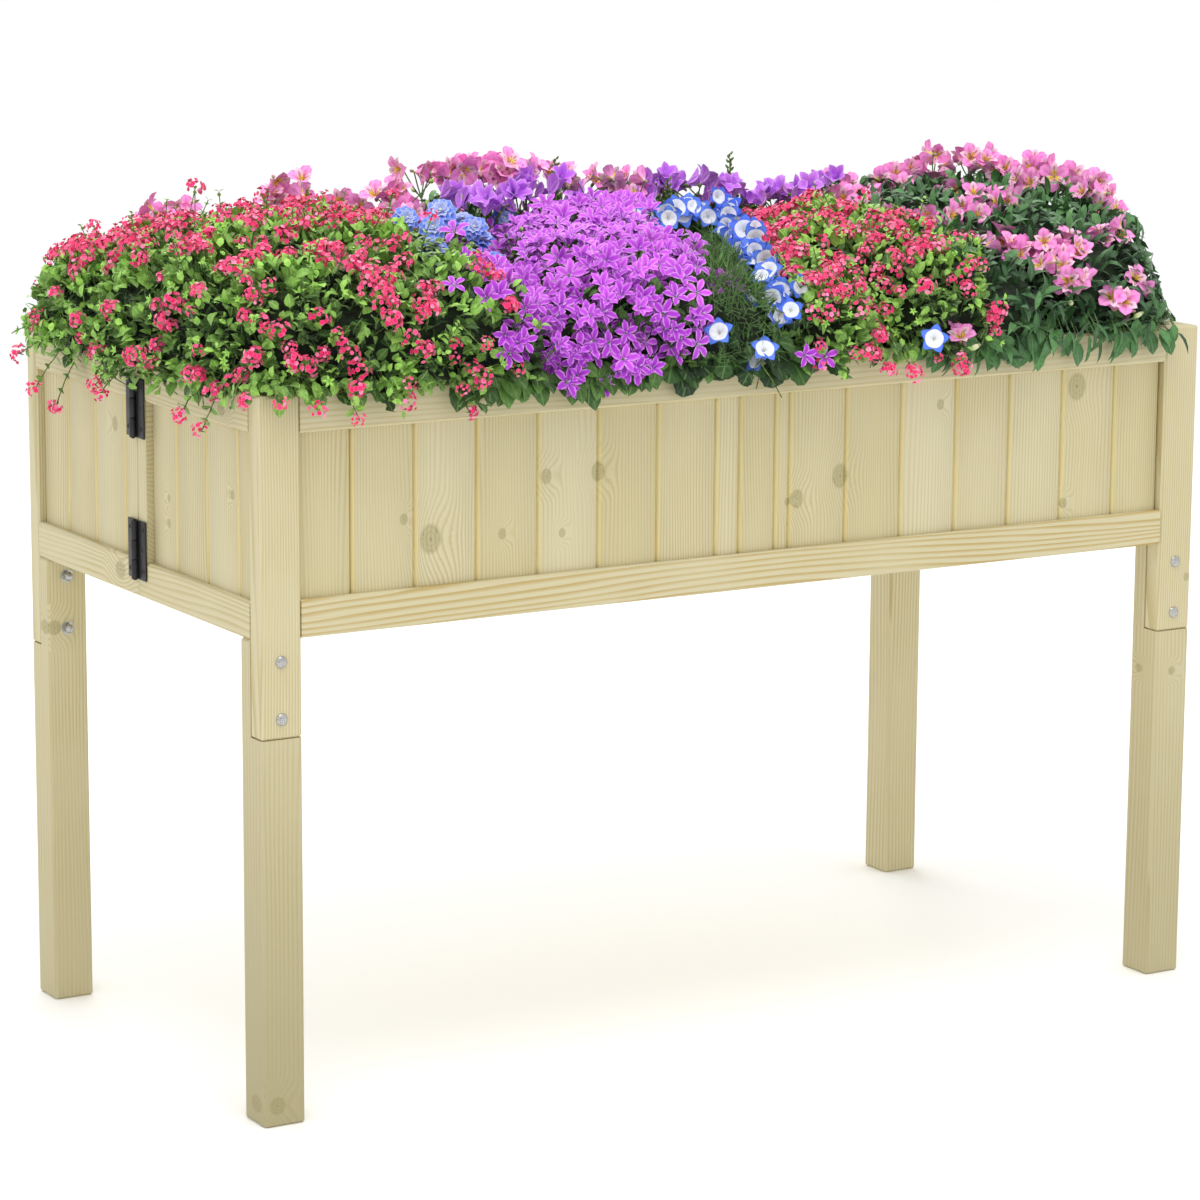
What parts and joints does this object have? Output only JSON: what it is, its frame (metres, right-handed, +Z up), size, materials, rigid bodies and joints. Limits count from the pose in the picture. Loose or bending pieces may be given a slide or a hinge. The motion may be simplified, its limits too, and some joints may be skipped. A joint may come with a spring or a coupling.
{
  "type": "planted raised bed",
  "caption": "Raised wooden planter box on legs, with slatted board sides, folding hinged ends, a liner and soil, planted with mixed flowering garden plants.",
  "frame": {"origin": "centre of the footprint, on the ground", "axes": "+X along the length to the right seen from the front, +Y to the rear, +Z up"},
  "size_m": [1.3783, 0.7004, 0.9793],
  "materials": {
    "leg_wood": "sawn softwood, oiled",
    "post_wood": "planed softwood, oiled",
    "rail_wood": "planed softwood with bold golden grain",
    "board_wood": "planed softwood boards with knots",
    "floor_wood": "rough softwood",
    "zinc_steel": "zinc plated",
    "black_steel": "black powder coat",
    "liner_cloth": "black woven liner",
    "potting_soil": "dark crumbly potting soil",
    "lantana_left_foliage": "matte toothed leaves",
    "lantana_right_foliage": "matte toothed leaves",
    "alstroemeria_rear_foliage": "dark lance-shaped leaves",
    "alstroemeria_right_foliage": "dark lance-shaped leaves",
    "double_bellflower_foliage": "light green leaves",
    "campanula_foliage": "small green leaves",
    "tall_bellflower_foliage": "green leaves on upright stems",
    "nemophila_foliage": "feathery dark green leaves",
    "lantana_left_flowers": "crimson and pink petals",
    "lantana_right_flowers": "crimson and pink petals",
    "alstroemeria_rear_flowers": "pink petals with yellow throats",
    "alstroemeria_right_flowers": "pink petals with yellow throats",
    "double_bellflower_flowers": "layered blue petals",
    "campanula_flowers": "purple star-shaped petals",
    "tall_bellflower_flowers": "lilac bell-shaped petals",
    "nemophila_flowers": "blue petals around white cups"
  },
  "bodies": {
    "root": {"alstroemeria_rear_flowering_stems": "alstroemeria_rear_flowers", "alstroemeria_rear_foliage": "alstroemeria_rear_foliage", "alstroemeria_right_flowering_stems": "alstroemeria_right_flowers", "alstroemeria_right_foliage": "alstroemeria_right_foliage", "bolt_front_left_lower": "zinc_steel", "bolt_front_left_upper": "zinc_steel", "bolt_front_right_lower": "zinc_steel", "bolt_front_right_upper": "zinc_steel", "bolt_rear_left_lower": "zinc_steel", "bolt_rear_left_upper": "zinc_steel", "bolt_rear_right_lower": "zinc_steel", "bolt_rear_right_upper": "zinc_steel", "campanula_flowering_stems": "campanula_flowers", "campanula_foliage": "campanula_foliage", "double_bellflower_flowering_stems": "double_bellflower_flowers", "double_bellflower_foliage": "double_bellflower_foliage", "floor_bearer_front": "floor_wood", "floor_bearer_rear": "floor_wood", "floor_board": "floor_wood", "front_boards": "board_wood", "front_rail_bottom": "rail_wood", "front_rail_top": "rail_wood", "lantana_left_flowering_stems": "lantana_left_flowers", "lantana_left_foliage": "lantana_left_foliage", "lantana_right_flowering_stems": "lantana_right_flowers", "lantana_right_foliage": "lantana_right_foliage", "left_front_boards": "board_wood", "left_front_frame": "rail_wood", "left_hinge_lower_front_leaf": "black_steel", "left_hinge_lower_rear_leaf": "black_steel", "left_hinge_upper_front_leaf": "black_steel", "left_hinge_upper_rear_leaf": "black_steel", "left_rear_boards": "board_wood", "left_rear_frame": "rail_wood", "leg_front_left": "leg_wood", "leg_front_right": "leg_wood", "leg_rear_left": "leg_wood", "leg_rear_right": "leg_wood", "liner": "liner_cloth", "nemophila_flowering_stems": "nemophila_flowers", "nemophila_foliage": "nemophila_foliage", "post_front_left": "post_wood", "post_front_right": "post_wood", "post_rear_left": "post_wood", "post_rear_right": "post_wood", "rear_boards": "board_wood", "rear_rail_bottom": "rail_wood", "rear_rail_top": "rail_wood", "right_front_boards": "board_wood", "right_front_frame": "rail_wood", "right_hinge_lower_front_leaf": "black_steel", "right_hinge_lower_rear_leaf": "black_steel", "right_hinge_upper_front_leaf": "black_steel", "right_hinge_upper_rear_leaf": "black_steel", "right_rear_boards": "board_wood", "right_rear_frame": "rail_wood", "soil": "potting_soil", "tall_bellflower_flowering_stems": "tall_bellflower_flowers", "tall_bellflower_foliage": "tall_bellflower_foliage"}
  },
  "joints": []
}
